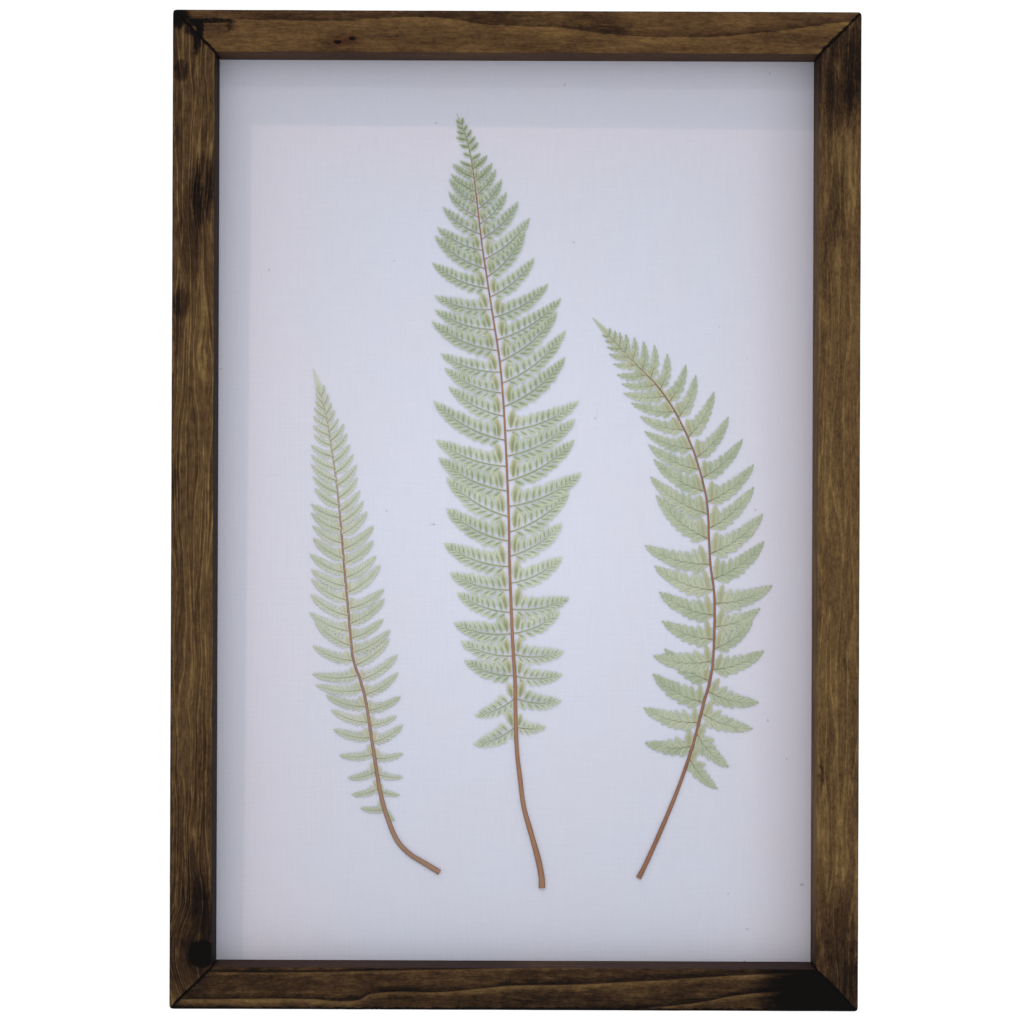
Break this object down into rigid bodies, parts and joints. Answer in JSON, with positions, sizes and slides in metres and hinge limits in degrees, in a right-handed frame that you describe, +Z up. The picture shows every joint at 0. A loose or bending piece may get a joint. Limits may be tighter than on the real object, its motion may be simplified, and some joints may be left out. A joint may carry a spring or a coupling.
{
  "type": "pressed fern frame",
  "caption": "Stained pine picture frame holding pressed fern fronds laid flat on a linen-covered board that is set back from the frame's front, with a sawtooth hanger behind.",
  "frame": {"origin": "middle of the bottom rail's underside, halfway through the frame's depth", "axes": "+Z up the frame's height, -Y out of its front face towards the viewer, +X to the viewer's right"},
  "size_m": [0.338, 0.0348, 0.4904],
  "materials": {
    "stained_pine": "dark brown stain on knotty pine, low satin",
    "linen": "fine plain weave, matt",
    "fibreboard": "matt",
    "hardboard": "smooth pressed face",
    "steel": "zinc plated",
    "fern_middle": "dry pressed leaf, matt",
    "fern_left": "dry pressed leaf, matt",
    "fern_right": "dry pressed leaf, matt"
  },
  "bodies": {
    "root": {"rail_top": "stained_pine", "rail_bottom": "stained_pine", "rail_left": "stained_pine", "rail_right": "stained_pine", "linen_cover": "linen", "mount_board": "fibreboard", "back_panel": "hardboard", "sawtooth_hanger": "steel", "hanger_nail_left": "steel", "hanger_nail_right": "steel", "tab_top_1": "steel", "tab_top_2": "steel", "tab_bottom_1": "steel", "tab_bottom_2": "steel", "tab_left_1": "steel", "tab_left_2": "steel", "tab_left_3": "steel", "tab_right_1": "steel", "tab_right_2": "steel", "tab_right_3": "steel", "frond_middle": "fern_middle", "frond_left": "fern_left", "frond_right": "fern_right"}
  },
  "joints": []
}
